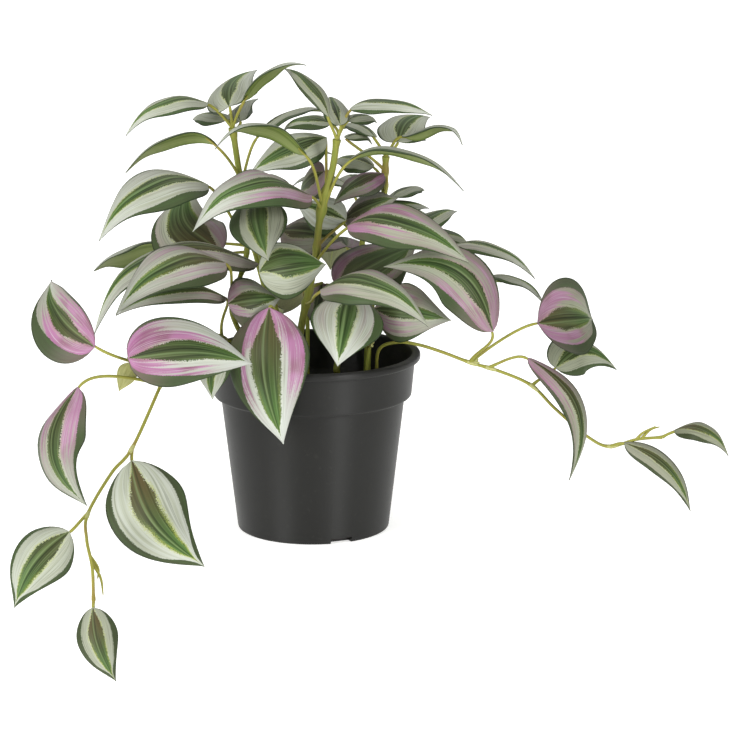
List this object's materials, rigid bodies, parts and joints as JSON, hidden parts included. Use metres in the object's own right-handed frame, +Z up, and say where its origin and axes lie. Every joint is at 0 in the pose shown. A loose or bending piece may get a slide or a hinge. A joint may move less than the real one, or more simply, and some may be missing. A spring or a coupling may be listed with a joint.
{
  "type": "potted trailing plant",
  "caption": "Trailing striped-leaf houseplant in a tapered black nursery pot: upright leafy stems, broad pointed leaves over the rim and long stems trailing out at the sides.",
  "frame": {"origin": "centre of the flat underside of the pot, on the surface it stands on", "axes": "+Z up; the front, which the long left stem trails towards, faces -Y; +X is to the right seen from the front"},
  "size_m": [0.2844, 0.3208, 0.199],
  "materials": {
    "pot": "satin black moulded plastic",
    "soil": "dark damp compost",
    "plant": "satin leaves striped green, silver and lilac on yellow-green stems"
  },
  "bodies": {
    "root": {"pot": "pot", "soil": "soil", "centre_tall_stem": "plant", "left_tall_stem": "plant", "right_tall_stem": "plant", "low_left_stem": "plant", "front_left_stem": "plant", "front_right_stem": "plant", "right_trailing_stem": "plant", "left_trailing_stem": "plant", "back_left_stem": "plant", "back_right_stem": "plant", "back_low_stem": "plant"}
  },
  "joints": []
}
